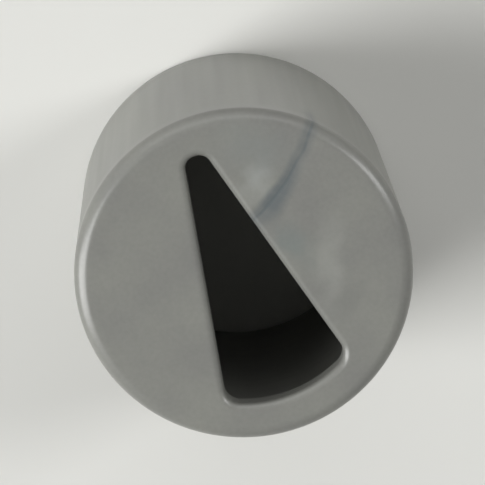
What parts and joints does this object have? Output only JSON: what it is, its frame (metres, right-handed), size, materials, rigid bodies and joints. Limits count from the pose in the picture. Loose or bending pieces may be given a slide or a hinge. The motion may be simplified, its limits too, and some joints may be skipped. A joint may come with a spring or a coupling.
{
  "type": "loose wheel nut indicator",
  "caption": "Round moulded push-on cap for a wheel bolt head, open below, with a wedge-shaped pointer window through its flat top that shows whether the bolt has turned.",
  "frame": {"origin": "centre of the mouth rim, on the surface that the cap stands on", "axes": "+Z along the bolt's axis towards the windowed top, +Y towards the pointer's tip"},
  "size_m": [0.0244, 0.0244, 0.025],
  "materials": {
    "cap": "satin grey, as moulded"
  },
  "bodies": {
    "root": {"pointer_cap": "cap"}
  },
  "joints": []
}
